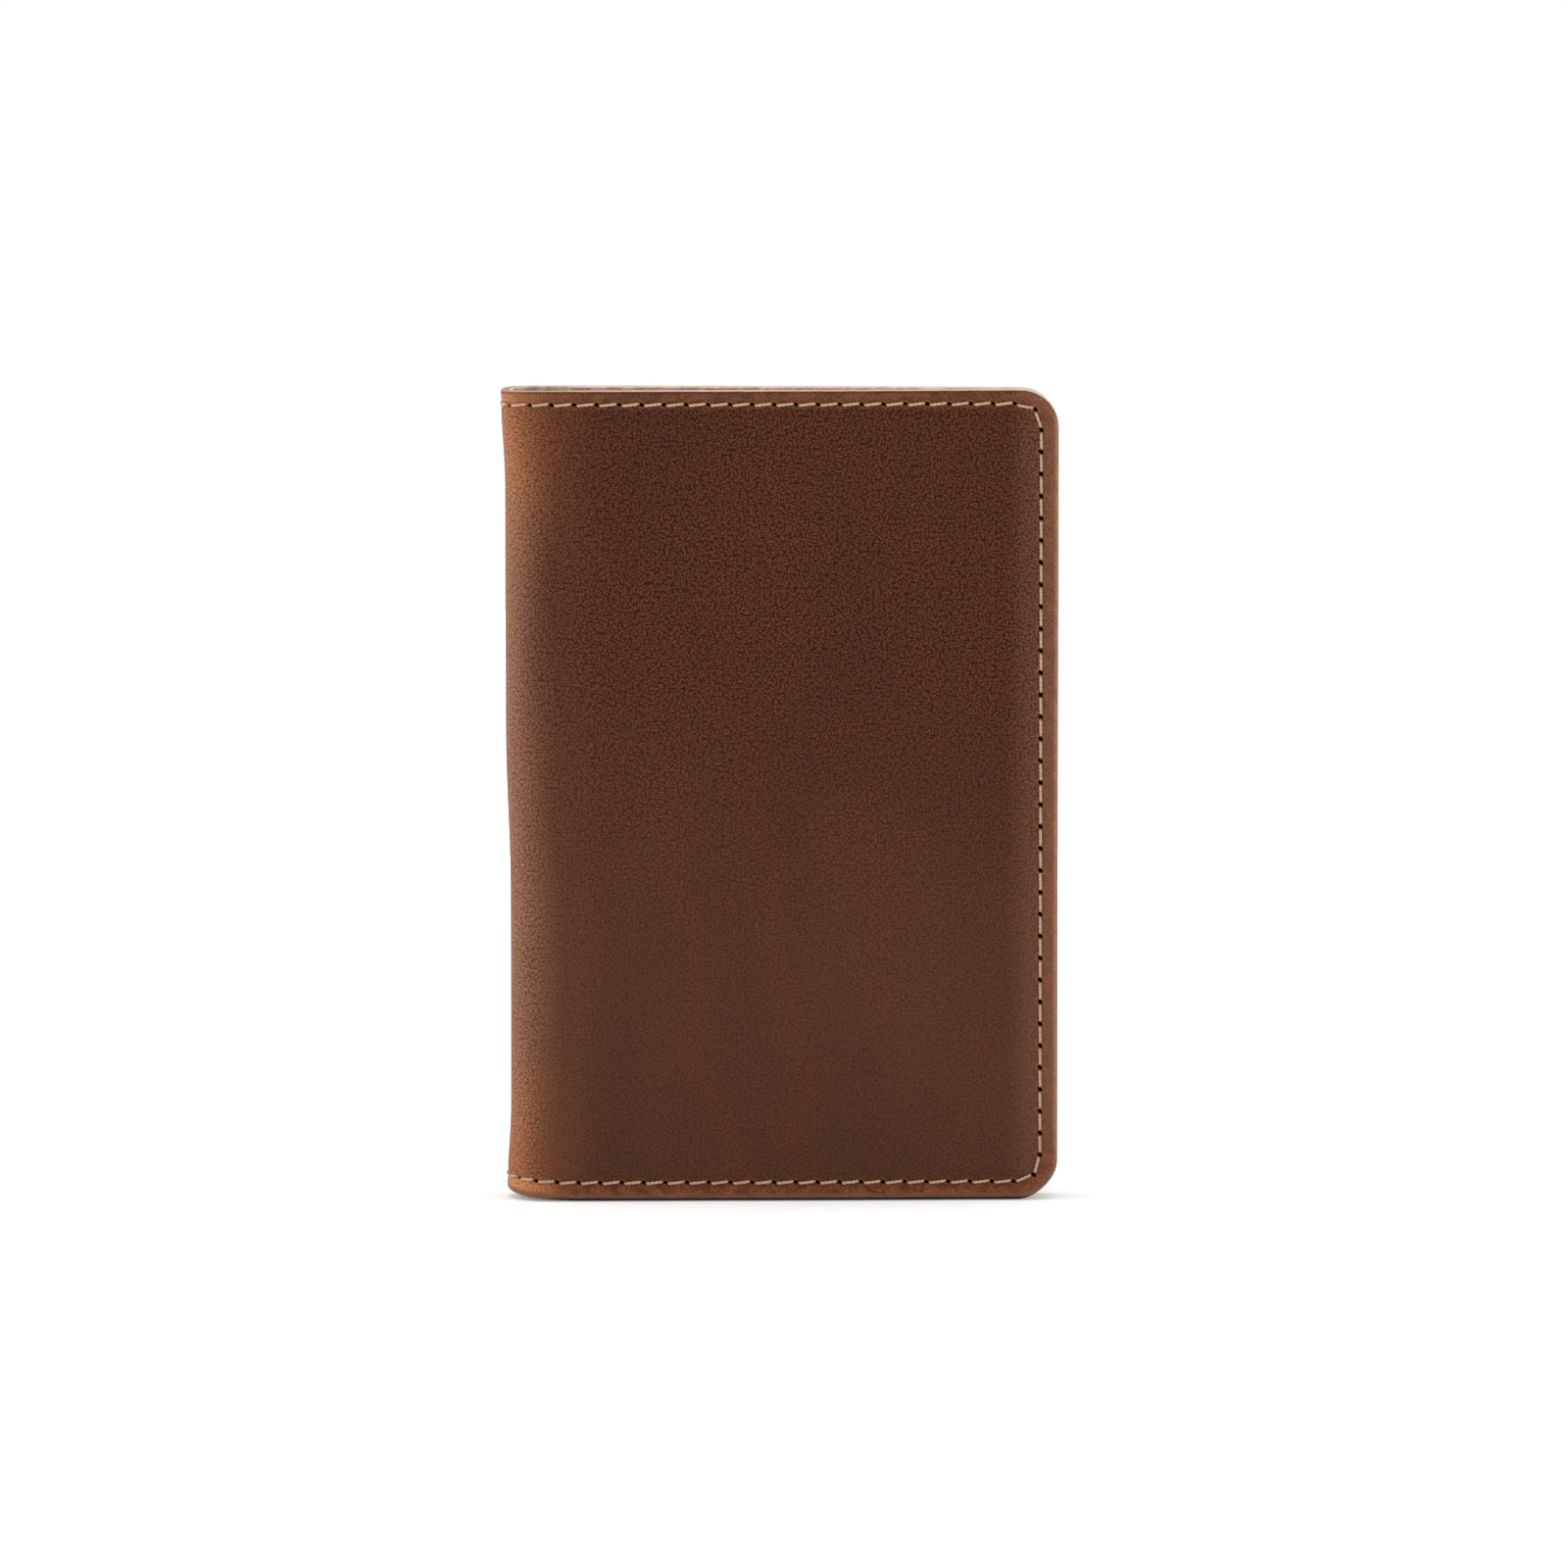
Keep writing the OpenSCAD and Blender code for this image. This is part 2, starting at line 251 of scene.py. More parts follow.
class Skin:
    """Vertices with what the materials need to know about them, and faces."""

    def __init__(self):
        self.u, self.z, self.d, self.rim, self.slit, self.faces = [], [], [], [], [], []

    def add(self, u, z, d, rim, slit):
        n = len(self.u)
        shape = np.shape(z)
        for store, values in zip((self.u, self.z, self.d, self.rim, self.slit), (u, z, d, rim, slit)):
            store.extend(np.broadcast_to(np.asarray(values, float), shape).ravel().tolist())
        return np.arange(n, len(self.u))

    def face(self, loop, flip):
        self.faces.append(tuple(int(i) for i in (loop[::-1] if flip else loop)))

    def grid(self, rows, flip):
        for a, b in zip(rows[:-1], rows[1:]):
            for i in range(len(a) - 1):
                self.face((a[i], a[i + 1], b[i + 1], b[i]), flip)

    def mesh(self, name, material):
        pts = place(np.array(self.u), np.array(self.z), np.array(self.d)) * MM
        mesh = bpy.data.meshes.new(name)
        mesh.from_pydata([tuple(p) for p in pts], [], self.faces)
        mesh.polygons.foreach_set("use_smooth", [True] * len(mesh.polygons))
        dev = mesh.attributes.new("dev", "FLOAT_VECTOR", "POINT")
        dev.data.foreach_set("vector", np.stack([self.u, self.z, self.d], -1).ravel())
        for key, values in (("rim", self.rim), ("slit", self.slit)):
            mesh.attributes.new(key, "FLOAT", "POINT").data.foreach_set("value", values)
        obj = bpy.data.objects.new(name, mesh)
        bpy.context.scene.collection.objects.link(obj)
        mesh.materials.append(material)
        return obj


def mitre(points, closed):
    """Outward direction at each point of a clockwise line, long enough at a corner to keep its inset."""
    p = np.asarray(points)
    d = np.diff(np.vstack([p, p[:1]]) if closed else p, axis=0)
    n = np.stack([-d[:, 1], d[:, 0]], -1) / np.linalg.norm(d, axis=1)[:, None]
    before = np.vstack([n[-1:], n[:-1]]) if closed else np.vstack([n[:1], n])
    after = n if closed else np.vstack([n, n[-1:]])
    m = before + after
    return m / (0.5 * (m * m).sum(1))[:, None]


def fill_inside(loop, points, margin):
    """The points that are inside the loop and not too near it."""
    q = np.asarray(loop)
    nxt = np.roll(q, -1, axis=0)
    inside = np.zeros(len(points), bool)
    near = np.full(len(points), 1e9)
    px, py = points[:, 0], points[:, 1]
    for (ax, ay), (bx, by) in zip(q, nxt):
        cross = ((ay > py) != (by > py)) & (px < (bx - ax) * (py - ay) / ((by - ay) or 1e-12) + ax)
        inside ^= cross
        dx, dy = bx - ax, by - ay
        t = np.clip(((px - ax) * dx + (py - ay) * dy) / (dx * dx + dy * dy + 1e-12), 0, 1)
        near = np.minimum(near, np.hypot(px - ax - t * dx, py - ay - t * dy))
    return points[inside & (near > margin)]


ROLL = np.radians([90, 72, 54, 36, 18, 0])


def panel(name, sign, runs, outer, inner, fills, material, inner_roll, holes):
    """A sheet between two depth functions. runs is its outline, clockwise: ("rim", points, roll radius)
    where it has a cut edge, ("join", points, None) where it goes on in the next piece. fills are the points
    inside its two faces, and holes are the stitch holes with their outward directions."""
    skin = Skin()
    flip = sign > 0

    def face(depth, inset, points, flip_face, which):
        loop, rows = [], []
        for kind, pts, rr in runs:
            pts = np.asarray(pts, float)
            if kind == "rim":
                m = mitre(pts, len(runs) == 1)
                r = np.broadcast_to(np.asarray(rr if which == 0 else inset, float), (len(pts),))
                ring = pts - m * r[:, None]
                loop.append(ring)
                rows.append((pts, m, r))
            else:
                loop.append(pts)
        # the ends of a join are the rings' own ends, so its points keep between them
        flat = []
        for k, (kind, _, _) in enumerate(runs):
            if kind == "rim":
                flat.append(loop[k])
            else:
                z0, z1 = loop[k - 1][-1][1], loop[(k + 1) % len(runs)][0][1]
                lo, hi = min(z0, z1) + 0.05, max(z0, z1) - 0.05
                flat.append(np.array([p for p in loop[k] if lo < p[1] < hi]))
        ring = np.vstack(flat)
        inside = fill_inside(ring, np.asarray(points), 0.12)
        allp = np.vstack([ring, inside])
        n = len(ring)
        edges = [(i, (i + 1) % n) for i in range(n)]
        out, _, tris, origin, _, _ = delaunay_2d_cdt([Vector(p) for p in allp], edges, [], 1, 1e-5)
        out = np.array([tuple(p) for p in out])
        a, z = np.abs(out[:, 0]), out[:, 1]
        ids = skin.add(sign * out[:, 0], z, depth(a, z), rim_distance(a, z), slit_metric(a, z, *holes))
        first = {}
        for i, src in enumerate(origin):
            for s in src:
                first[s] = ids[i]
        for t in tris:
            p = out[list(t)]
            (ax, az), (bx, bz) = p[1] - p[0], p[2] - p[0]
            area = ax * bz - az * bx
            loop_t = [ids[i] for i in t]
            skin.face(loop_t if area > 0 else loop_t[::-1], flip_face)
        start = 0
        rims = []
        for (kind, _, _), part in zip(runs, flat):
            if kind == "rim":
                rims.append([first[start + i] for i in range(len(part))])
            start += len(part)
        return rims, rows

    top_rims, rows = face(outer, None, fills[0], flip, 0)
    low_rims, low_rows = face(inner, inner_roll, fills[1], not flip, 1)
    for (pts, m, r), (_, _, r1), top, low in zip(rows, low_rows, top_rims, low_rims):
        a, z = np.abs(pts[:, 0]), pts[:, 1]
        rings = [np.array(top)]
        for t in ROLL[1:]:
            in_by = r * (1 - math.cos(t))
            q = pts - m * in_by[:, None]
            qa, qz = np.abs(q[:, 0]), q[:, 1]
            d = outer(qa, qz) + r * (1 - math.sin(t))
            rings.append(skin.add(sign * q[:, 0], qz, d, in_by, slit_metric(qa, qz, *holes)))
        d0, d1 = outer(a, z) + r, inner(a, z) - r1
        for k in (0.34, 0.67, 1.0):
            d = d0 + (d1 - d0) * k
            rings.append(skin.add(sign * pts[:, 0], z, d, -(d - d0) - 0.02, 9.0))
        for t in ROLL[-2:0:-2]:
            q = pts - m * (r1 * (1 - math.cos(t)))[:, None]
            d = inner(np.abs(q[:, 0]), q[:, 1]) - r1 * (1 - math.sin(t))
            rings.append(skin.add(sign * q[:, 0], q[:, 1], d, -(d1 - d0) - 0.05, 9.0))
        rings.append(np.array(low))
        closed = len(runs) == 1
        if closed:
            rings = [np.append(q, q[0]) for q in rings]
        skin.grid(rings, flip)
    return skin.mesh(name, material)


def lattice(a0, a1, da, z0, z1, dz, extra_a=(), extra_z=()):
    """A grid of points, with extra columns and rows."""

    def steps(low, high, step, extra):
        even = np.linspace(low, high, max(2, round((high - low) / step) + 1))
        return np.unique(np.round(np.concatenate([even, extra]), 4))

    a, z = steps(a0, a1, da, extra_a), steps(z0, z1, dz, extra_z)
    return np.stack(np.meshgrid(a, z, indexing="ij"), -1).reshape(-1, 2)


def clear_of(points, centres, radius):
    keep = np.ones(len(points), bool)
    for c in centres:
        keep &= np.hypot(points[:, 0] - c[0], points[:, 1] - c[1]) > radius
    return points[keep]


JOIN_Z = np.arange(1.5, HEIGHT - 0.5, 1.5)


def outer_roll(a, z):
    """Radius to which the outer face is rolled over at its edge: sharp at the top, soft below."""
    right = smooth((a - (EDGE_U - 4.0)) / 4.0)
    low = 1 - smooth((z - 0.2) / 5.0)
    return (0.26 + 0.3 * right) * (1 - low) + 1.12 * low


def half_outline(start_u, r_of, top=HEIGHT, step=0.6):
    """Clockwise from the top of a join round the free edge to its bottom."""
    n = lambda length: max(2, round(length / step))
    pts = [(a, top) for a in np.linspace(start_u, EDGE_U - CORNER_R, n(EDGE_U - CORNER_R - start_u))]
    t = np.radians(np.linspace(90, 0, 13))
    ca = EDGE_U - CORNER_R
    pts += [(ca + CORNER_R * math.cos(k), top - CORNER_R + CORNER_R * math.sin(k)) for k in t[1:]]
    pts += [(EDGE_U, z) for z in np.linspace(top - CORNER_R, CORNER_R, n(top - 2 * CORNER_R))[1:-1]]
    pts += [(ca + CORNER_R * math.cos(k), CORNER_R - CORNER_R * math.sin(k)) for k in t[::-1]]
    pts += [(a, 0.0) for a in np.linspace(ca, start_u, n(ca - start_u))[1:]]
    pts = np.array(pts)
    return pts, r_of(pts[:, 0], pts[:, 1])


def band_points(step_s=0.75):
    """Rows of points between the edge and the inner side of the stitch line."""
    out = []
    for s in np.arange(0.3, EDGE_RUN, step_s):
        (a, z), (na, nz) = edge_point(s)
        for off in (1.2, 0.6, 0.0, -0.7, -1.5, -2.5):
            out.append((a + na * off, z + nz * off))
    return np.array(out)


HOLE_SCALES = (0.45, 0.75, 0.88, 1.0, 1.15, 1.5, 2.1)
ON_FOLD = EDGE_HOLES[:, 0] < QUARTER


def hide_outer(a, z):
    m = slit_metric(a, z, EDGE_HOLES, EDGE_NORMALS)
    e = rim_distance(a, z)
    pit = 0.95 * (1 - smooth((m - 0.72) / 0.34))
    dimple = 0.10 * (1 - smooth((m - 0.9) / 1.8))
    top, low = smooth((z - HEIGHT + 8) / 4), smooth((8 - z) / 4)
    inset = STITCH_IN + (TOP_IN - STITCH_IN) * top + (LOW_IN - STITCH_IN) * low
    fold = 1 - smooth((a - QUARTER) / 3)
    seam = (0.07 + 0.07 * fold) * np.exp(-((e - inset) / 0.7) ** 2)
    return pit + dimple + seam


def hide_inner(a, z):
    return np.full(np.shape(a), HIDE_T)


def lining_outer(a, z):
    return np.full(np.shape(a), HIDE_T + 0.01)


def lining_inner(a, z):
    m = slit_metric(a, z, EDGE_HOLES, EDGE_NORMALS)
    fold = 1 - smooth((a - QUARTER + 1.0) / 6.0)
    ripple = np.sin(a * 2.1 + 0.5 * np.sin(z / 6.0))
    crease = 0.06 * fold * ripple * smooth(z / 10) * smooth((HEIGHT - z) / 10)
    return SLIP_D - 0.09 * (1 - smooth((m - 0.6) / 1.6)) + crease


def half_fill(start_u, holes, normals, scales, dense):
    inner = lattice(start_u + 0.12, EDGE_U - 4.6, dense, 4.6, HEIGHT - 4.6, dense, (start_u + 0.9,))
    inner = inner[rim_distance(inner[:, 0], inner[:, 1]) > 4.4]
    band = band_points()
    near_join = (0.5, 1.4, 2.4, 3.4, HEIGHT - 3.4, HEIGHT - 2.4, HEIGHT - 1.2)
    ends = np.array([(start_u + 0.12, z) for z in near_join])
    fill = clear_of(np.vstack([band, ends]), holes, 1.12)
    return np.vstack([inner, fill, slit_points(holes, normals, scales)])


def cover_pieces(material_hide, material_lining):
    flat = ~ON_FOLD
    holes, normals = EDGE_HOLES[flat], EDGE_NORMALS[flat]
    outline, radii = half_outline(QUARTER, outer_roll)
    join = [(QUARTER, z) for z in JOIN_Z]
    runs = [("rim", outline, radii), ("join", join, None)]
    coarse = lattice(QUARTER + 0.12, EDGE_U, 4.0, 0.0, HEIGHT, 4.0, (QUARTER + 0.9,))
    fine = half_fill(QUARTER, holes, normals, HOLE_SCALES, 1.5)
    for side, sign in SIDES.items():
        hide = panel(f"hide_{side}", sign, runs, hide_outer, hide_inner, (fine, coarse), material_hide,
                     0.02, (EDGE_HOLES, EDGE_NORMALS))
        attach(hide, f"{side}_half")
        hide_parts(f"outer_{side}_cover")
        thin = [("rim", outline, np.full(len(outline), 0.02)), ("join", join, None)]
        lining = panel(f"lining_sheet_{side}", sign, thin, lining_outer, lining_inner, (coarse, fine),
                       material_lining, 0.1, (EDGE_HOLES, EDGE_NORMALS))
        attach(lining, f"{side}_half")
        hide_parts(f"lining_{side}")


def fold_ends(k):
    """Distances round the spine at which a part of the fold starts and ends, the back first."""
    return QUARTER - k * FOLD_R * PART_A, QUARTER - (k + 1) * FOLD_R * PART_A


def bend(piece, k, depth):
    """Bakes the transform of a part of the fold into its mesh."""
    hi, lo = fold_ends(k)
    start, end = place([hi, lo], HEIGHT / 2, depth) * MM
    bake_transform(piece)


def fold_pieces(material_hide, material_lining):
    for k in range(len(HINGES)):
        hi, lo = fold_ends(k)
        us = np.linspace(lo, hi, 13)
        top = np.array([(u, HEIGHT) for u in us])
        low = np.array([(u, 0.0) for u in us[::-1]])
        right = [(hi, z) for z in JOIN_Z[::-1]]
        left = [(lo, z) for z in JOIN_Z]
        r_top, r_low = (outer_roll(np.full(13, QUARTER), line[:, 1]) for line in (top, low))
        both = np.vstack([EDGE_HOLES[ON_FOLD], EDGE_HOLES[ON_FOLD] * (-1, 1)])
        signed = both[(both[:, 0] > lo) & (both[:, 0] < hi)]
        normals = np.tile((0.0, 1.0), (len(signed), 1))
        rings = slit_points(np.abs(signed), normals, HOLE_SCALES)
        per = len(rings) // max(1, len(signed))
        for i, (u, _) in enumerate(signed):
            if u < 0:
                rings[i * per:(i + 1) * per, 0] *= -1
        body = lattice(lo + 0.12, hi - 0.12, 0.42, 4.2, HEIGHT - 4.2, 1.5)
        band = lattice(lo + 0.12, hi - 0.12, 0.5, 0.5, 4.0, 0.7)
        band = np.vstack([band, band * (1, -1) + (0, HEIGHT)])
        fine = np.vstack([body, clear_of(band, signed, 1.05), rings])
        coarse = lattice(lo + 0.12, hi - 0.12, 0.7, 0.6, HEIGHT - 0.6, 2.5)
        runs = lambda a, b: [("rim", top, a), ("join", right, None), ("rim", low, b), ("join", left, None)]
        known = (EDGE_HOLES, EDGE_NORMALS)
        hide = panel(f"hide_fold_{k + 1}", 1, runs(r_top, r_low), hide_outer, hide_inner, (fine, coarse),
                     material_hide, 0.02, known)
        thin = np.full(13, 0.02)
        lining = panel(f"lining_sheet_fold_{k + 1}", 1, runs(thin, thin), lining_outer, lining_inner,
                       (coarse, fine), material_lining, 0.1, known)
        bend(hide, k, HIDE_T / 2)
        bend(lining, k, (HIDE_T + SLIP_D) / 2)
        if k < len(HINGES) - 1:
            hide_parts(f"outer_fold_strip_{k + 1}")
            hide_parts(f"lining_fold_strip_{k + 1}")


# ---- pockets ----

STEP = 0.9
ALL_HOLES = np.vstack([EDGE_HOLES, SIDE_HOLES])
ALL_NORMALS = np.vstack([EDGE_NORMALS, np.tile((-1.0, 0.0), (len(SIDE_HOLES), 1))])


def tee(a, z):
    """1 over the upper pocket's panel, easing to 0 outside it."""
    leg = smooth((a - LEG_U[0] + STEP) / STEP) * smooth((LEG_U[1] + STEP - a) / STEP)
    leg = leg * smooth((z - LEG_Z + STEP) / STEP)
    return np.maximum(leg, smooth((z - SHOULDER_Z + STEP) / STEP))


def mouth(a, height):
    return height - 0.35 * np.sin(np.pi * np.clip((a - SLIP_U) / (EDGE_U - SLIP_U), 0, 1))


def pressed(a, z, height):
    """Depth of the line creased into a panel below its mouth, and of the pits at its stitches."""
    line = 0.13 * np.exp(-((mouth(a, height) - 1.7 - z) / 0.2) ** 2)
    m = slit_metric(a, z, ALL_HOLES, ALL_NORMALS)
    pit = 0.3 * (1 - smooth((m - 0.7) / 0.35)) + 0.08 * (1 - smooth((m - 0.9) / 1.8))
    return line + pit


def slip_outer(a, z):
    return np.full(np.shape(a), SLIP_D + 0.01)


def slip_inner(a, z):
    return UPPER_D - pressed(a, z, HEIGHT + 50)


def upper_outer(a, z):
    return np.full(np.shape(a), UPPER_D + 0.01)


def upper_inner(a, z):
    return UPPER_D + UPPER_T - pressed(a, z, UPPER_MOUTH)


def lower_outer(a, z):
    return UPPER_D + 0.01 + UPPER_T * tee(a, z)


def lower_inner(a, z):
    return UPPER_D + UPPER_T * tee(a, z) + LOWER_T - pressed(a, z, LOWER_MOUTH)


def segment(p, q, step=0.8):
    """Points from p towards q, without q."""
    n = max(2, math.ceil(math.dist(p, q) / step))
    return [tuple(np.array(p) + (np.array(q) - p) * i / n) for i in range(n)]


def bowed(pts, height):
    """The outline with its mouth bowed down in the middle."""
    pts = np.array(pts)
    on = np.abs(pts[:, 1] - height) < 1e-6
    pts[on, 1] = mouth(pts[on, 0], height)
    return pts


def slip_outline():
    pts, _ = half_outline(SLIP_U, outer_roll, step=0.9)
    return np.vstack([pts[:-1], segment((SLIP_U, 0.0), (SLIP_U, HEIGHT))])


def upper_outline():
    corner = [(SLIP_U, UPPER_MOUTH), (EDGE_U, UPPER_MOUTH), (EDGE_U, SHOULDER_Z), (LEG_U[1], SHOULDER_Z),
              (LEG_U[1], LEG_Z), (LEG_U[0], LEG_Z), (LEG_U[0], SHOULDER_Z), (SLIP_U, SHOULDER_Z)]
    pts = sum([segment(p, q) for p, q in zip(corner, corner[1:] + corner[:1])], [])
    return bowed(pts, UPPER_MOUTH)


def lower_outline():
    ca = EDGE_U - CORNER_R
    t = np.radians(np.linspace(0, 90, 13))
    arc = [(ca + CORNER_R * math.cos(k), CORNER_R - CORNER_R * math.sin(k)) for k in t]
    pts = segment((SLIP_U, LOWER_MOUTH), (EDGE_U, LOWER_MOUTH)) + segment((EDGE_U, LOWER_MOUTH), arc[0])
    pts += arc[:-1] + segment(arc[-1], (SLIP_U, 0.0)) + segment((SLIP_U, 0.0), (SLIP_U, LOWER_MOUTH))
    return bowed(pts, LOWER_MOUTH)


def side_fill(low, high, extra_z=()):
    """Points for a pocket's visible face, close round its stitches, creases and steps."""
    steps = [LEG_U[0] - STEP, LEG_U[0] - STEP / 2, LEG_U[0], LEG_U[1], LEG_U[1] + STEP / 2, LEG_U[1] + STEP]
    body = lattice(SLIP_U + 0.8, EDGE_U - 0.8, 2.0, low + 0.6, high - 0.4, 2.0, steps, extra_z)
    a, z = ALL_HOLES.T
    keep = (a > SLIP_U + 0.9) & (z > low + 0.9) & (z < high - 0.9)
    rings = slit_points(ALL_HOLES[keep], ALL_NORMALS[keep], (0.5, 0.8, 1.0, 1.3, 1.9), 8)
    return np.vstack([clear_of(body, ALL_HOLES[keep], 0.95), rings])


def crease_rows(height):
    return [height - 1.7 - 0.35 + k for k in (-0.5, -0.25, 0.0, 0.12, 0.25, 0.37, 0.5, 0.75, 1.0)]


def pocket_pieces(material):
    tee_rows = [SHOULDER_Z - STEP, SHOULDER_Z - STEP / 2, SHOULDER_Z, LEG_Z - STEP, LEG_Z - STEP / 2, LEG_Z]
    rough = lambda low, high: lattice(SLIP_U + 1, EDGE_U - 1, 3.0, low + 1, high - 1, 3.0)
    stepped = side_fill(0, LOWER_MOUTH, tee_rows)
    make = [
        ("slip_panel", "slip_panel_sheet", slip_outline(), slip_outer, slip_inner, rough(0, HEIGHT),
         side_fill(0, HEIGHT)),
        ("upper_pocket", "upper_pocket_sheet", upper_outline(), upper_outer, upper_inner,
         rough(LEG_Z, UPPER_MOUTH), side_fill(LEG_Z, UPPER_MOUTH, crease_rows(UPPER_MOUTH))),
        ("lower_pocket", "lower_pocket_sheet", lower_outline(), lower_outer, lower_inner, stepped,
         side_fill(0, LOWER_MOUTH, tee_rows + crease_rows(LOWER_MOUTH))),
    ]
    for node, piece, outline, outer, inner, back, face in make:
        for side, sign in SIDES.items():
            runs = [("rim", outline, np.full(len(outline), 0.05))]
            obj = panel(f"{piece}_{side}", sign, runs, outer, inner, (back, face), material, 0.16,
                        (ALL_HOLES, ALL_NORMALS))
            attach(obj, f"{side}_half")
            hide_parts(f"{node}_{side}")


# ---- thread ----

PLY_SIDES = 12
PLY_TURN = 1.15
LIFT, FOLD_LIFT = 0.13, -0.08


class Thread:
    """Tubes of two twisted plies, in mm."""

    def __init__(self):
        self.v, self.f, self.dev = [], [], []

    def tube(self, uzd, start, cap_start, cap_end):
        uzd = np.asarray(uzd)
        mid = place(uzd[:, 0], uzd[:, 1], uzd[:, 2])
        out = place(uzd[:, 0], uzd[:, 1], uzd[:, 2] - 0.1) - mid
        tan = np.gradient(mid, axis=0)
        tan /= np.linalg.norm(tan, axis=1)[:, None]
        nor = out - (out * tan).sum(1)[:, None] * tan
        nor /= np.linalg.norm(nor, axis=1)[:, None]
        bi = np.cross(tan, nor)
        run = start + np.concatenate([[0], np.cumsum(np.linalg.norm(np.diff(mid, axis=0), axis=1))])
        base = len(self.v)
        ang = np.arange(PLY_SIDES) * 2 * math.pi / PLY_SIDES
        for c, n, b, s in zip(mid, nor, bi, run):
            turned = ang - 2 * math.pi * s / PLY_TURN
            r = THREAD_R * np.sqrt(np.cos(turned) ** 2 + 0.42 * np.sin(turned) ** 2)
            ring = c + r[:, None] * (np.cos(ang)[:, None] * n + np.sin(ang)[:, None] * b)
            self.v += [tuple(p * MM) for p in ring]
            self.dev += [(s, t / (2 * math.pi), 0.0) for t in turned]
        k = PLY_SIDES
        for i in range(len(mid) - 1):
            for j in range(k):
                a, b = base + i * k + j, base + i * k + (j + 1) % k
                self.f.append((a, a + k, b + k, b)[::-1])
        if cap_start:
            self.f.append(tuple(base + j for j in range(k))[::-1])
        if cap_end:
            self.f.append(tuple(base + (len(mid) - 1) * k + j for j in range(k)))

    def mesh(self, name, material):
        mesh = bpy.data.meshes.new(name)
        mesh.from_pydata(self.v, [], self.f)
        mesh.polygons.foreach_set("use_smooth", [True] * len(mesh.polygons))
        dev = mesh.attributes.new("dev", "FLOAT_VECTOR", "POINT")
        dev.data.foreach_set("vector", np.array(self.dev).ravel())
        obj = bpy.data.objects.new(name, mesh)
        bpy.context.scene.collection.objects.link(obj)
        mesh.materials.append(material)
        return obj


def inside_face(a, z):
    """Depth of the face that shows on the inside of an open holder."""
    pocket = UPPER_D + UPPER_T * tee(a, z) + LOWER_T
    on_slip = np.where(z > UPPER_MOUTH, UPPER_D, np.where(z > LOWER_MOUTH, UPPER_D + UPPER_T, pocket))
    return np.where(a < SLIP_U, SLIP_D, on_slip)


def stitch_path(p, q, n, rise, face, way, dive):
    """(a, z, depth) along one stitch from hole p to hole q. way is -1 on the outer face, 1 inside."""
    ends = np.linspace(0.12, 0.24, 6), np.linspace(0.76, 0.88, 6)
    t = np.concatenate([ends[0], np.linspace(0.24, 0.76, 15)[1:-1], ends[1]])
    off = rise * (2 * t - 1)
    a = p[0] + (q[0] - p[0]) * t + n[0] * off
    z = p[1] + (q[1] - p[1]) * t + n[1] * off
    level = max(face(np.array([abs(p[0]), abs(q[0])]), np.array([p[1], q[1]]))) if way > 0 else 0.0
    down = 1 - smooth(np.minimum(t - 0.12, 0.88 - t) / 0.1)
    lift = FOLD_LIFT + (LIFT - FOLD_LIFT) * smooth((np.abs(a) - QUARTER) / 2) + 0.03 * np.sin(np.pi * t)
    d = level + way * (lift if way < 0 else LIFT) - way * dive * down
    return np.stack([a, z, d], -1)


def zone(u):
    """Which part of the holder a distance round it is on: a half, or a part of the fold."""
    if abs(u) >= QUARTER - 1e-9:
        return "back" if u > 0 else "front"
    return int((QUARTER - u) // (FOLD_R * PART_A))


CUTS = sorted([fold_ends(k)[1] for k in range(len(HINGES))] + [QUARTER])


def add_stitch(threads, path, start):
    """Adds a stitch to the piece that it is on. One that crosses a cut is shared by the two pieces there."""
    low_u, high_u = sorted((path[0, 0], path[-1, 0]))
    cut = [c for c in CUTS if low_u + 1e-6 < c < high_u - 1e-6]
    if not cut:
        threads[zone(path[len(path) // 2, 0])].tube(path, start, True, True)
        return
    c = cut[0]
    order = path if path[-1, 0] > path[0, 0] else path[::-1]
    middle = [np.interp(c, order[:, 0], order[:, k]) for k in range(3)]
    i = int(np.searchsorted(order[:, 0], c))
    low, high = np.vstack([order[:i], middle]), np.vstack([middle, order[i:]])
    length = np.linalg.norm(np.diff(place(*low.T), axis=0), axis=1).sum()
    threads[zone(low[0, 0])].tube(low, start, True, False)
    threads[zone(high[-1, 0])].tube(high, start + length, False, True)


